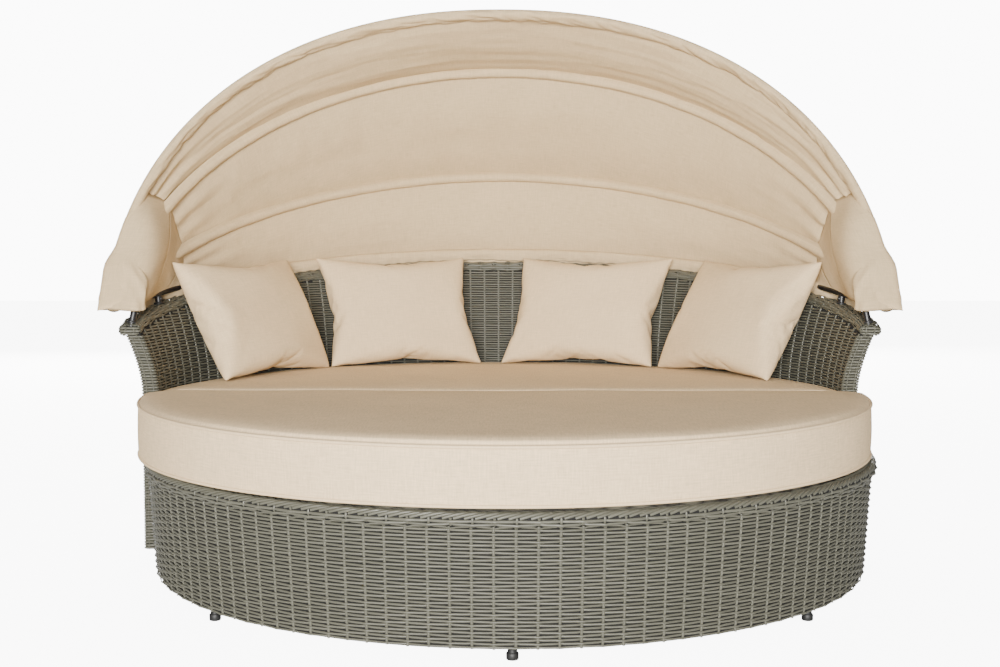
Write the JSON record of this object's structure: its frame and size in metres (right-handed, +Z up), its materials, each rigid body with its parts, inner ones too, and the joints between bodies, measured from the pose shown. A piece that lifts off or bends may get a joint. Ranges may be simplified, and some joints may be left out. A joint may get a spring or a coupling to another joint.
{
  "type": "outdoor canopy daybed",
  "caption": "Round outdoor daybed: wicker sofa half with a folding fabric canopy and cushions, and a pull-away ottoman half.",
  "frame": {"origin": "on the floor, at the middle of the standing part's outline", "axes": "+X to the right seen from the front, +Y towards the back rest, +Z up"},
  "size_m": [2.038, 1.8798, 1.4669],
  "materials": {
    "frame_metal": "satin powder coat",
    "wicker": "woven half-round strand, matt",
    "braid": "wrapped braid, matt",
    "strap": "woven webbing",
    "black_metal": "satin black coat",
    "hardware": "satin black",
    "glide": "matt black",
    "seat_fabric": "heathered plain weave",
    "pillow_fabric": "heathered plain weave",
    "canopy_fabric": "plain weave awning cloth"
  },
  "bodies": {
    "sofa": {"sofa_frame": "frame_metal", "sofa_weave": "wicker", "sofa_front_panel": "wicker", "arm_end_left": "wicker", "arm_end_right": "wicker", "sofa_rim": "braid", "sofa_deck": "strap", "canopy_rail": "black_metal", "rail_strut_left": "black_metal", "rail_strut_right": "black_metal", "rail_post_1": "black_metal", "rail_post_2": "black_metal", "rail_post_3": "black_metal", "rail_post_4": "black_metal", "pivot_bolt_left": "hardware", "pivot_bolt_right": "hardware", "pivot_knob_left": "hardware", "pivot_knob_right": "hardware", "sofa_foot_1": "glide", "sofa_foot_2": "glide", "sofa_foot_3": "glide", "sofa_foot_4": "glide", "sofa_foot_5": "glide"},
    "ottoman": {"ottoman_frame": "frame_metal", "ottoman_weave": "wicker", "ottoman_back_panel": "wicker", "ottoman_roll": "braid", "ottoman_deck": "strap", "ottoman_foot_1": "glide", "ottoman_foot_2": "glide", "ottoman_foot_3": "glide", "ottoman_foot_4": "glide", "ottoman_foot_5": "glide"},
    "front_seat": {"front_cushion": "seat_fabric"},
    "rear_seat": {"rear_cushion": "seat_fabric"},
    "pillow_outer_left": {"pillow_outer_left": "pillow_fabric"},
    "pillow_inner_left": {"pillow_inner_left": "pillow_fabric"},
    "pillow_inner_right": {"pillow_inner_right": "pillow_fabric"},
    "pillow_outer_right": {"pillow_outer_right": "pillow_fabric"},
    "rear_bow": {"bow_rear": "black_metal", "canopy_rear_panel": "canopy_fabric", "canopy_side_left": "canopy_fabric", "canopy_side_right": "canopy_fabric"},
    "middle_bow": {"bow_middle": "black_metal", "canopy_middle_panel": "canopy_fabric"},
    "front_bow": {"bow_front": "black_metal", "canopy_front_panel": "canopy_fabric"}
  },
  "joints": [
    {"name": "canopy_fold", "type": "hinge", "parent": "sofa", "child": "rear_bow", "pos_m": [0, -0.0035, 0.655], "axis": [-1, 0, 0], "range_deg": [0, 8], "deforming": ["canopy_rear_panel", "canopy_side_left", "canopy_side_right"]},
    {"name": "middle_bow_fold", "type": "hinge", "parent": "rear_bow", "child": "middle_bow", "pos_m": [0, -0.0035, 0.655], "axis": [-1, 0, 0], "range_deg": [0, 18.5], "deforming": ["canopy_middle_panel"]},
    {"name": "front_bow_fold", "type": "hinge", "parent": "middle_bow", "child": "front_bow", "pos_m": [0, -0.0035, 0.655], "axis": [-1, 0, 0], "range_deg": [0, 12.5], "deforming": ["canopy_front_panel"]},
    {"name": "ottoman_pull", "type": "slide", "parent": "sofa", "child": "ottoman", "axis": [0, -1, 0], "range_m": [0, 0.6]},
    {"name": "front_cushion_lift", "type": "slide", "parent": "ottoman", "child": "front_seat", "axis": [0, 0, 1], "range_m": [0, 0.2]},
    {"name": "rear_cushion_lift", "type": "slide", "parent": "sofa", "child": "rear_seat", "axis": [0, 0, 1], "range_m": [0, 0.04]},
    {"name": "pillow_outer_left_slide", "type": "slide", "parent": "rear_seat", "child": "pillow_outer_left", "axis": [0, -1, 0], "range_m": [0, 0.12]},
    {"name": "pillow_inner_left_slide", "type": "slide", "parent": "rear_seat", "child": "pillow_inner_left", "axis": [0, -1, 0], "range_m": [0, 0.12]},
    {"name": "pillow_inner_right_slide", "type": "slide", "parent": "rear_seat", "child": "pillow_inner_right", "axis": [0, -1, 0], "range_m": [0, 0.12]},
    {"name": "pillow_outer_right_slide", "type": "slide", "parent": "rear_seat", "child": "pillow_outer_right", "axis": [0, -1, 0], "range_m": [0, 0.12]}
  ],
  "couplings": [
    {"joint": "middle_bow_fold", "follows": "canopy_fold", "ratio": 2.3125},
    {"joint": "front_bow_fold", "follows": "canopy_fold", "ratio": 1.5625}
  ]
}
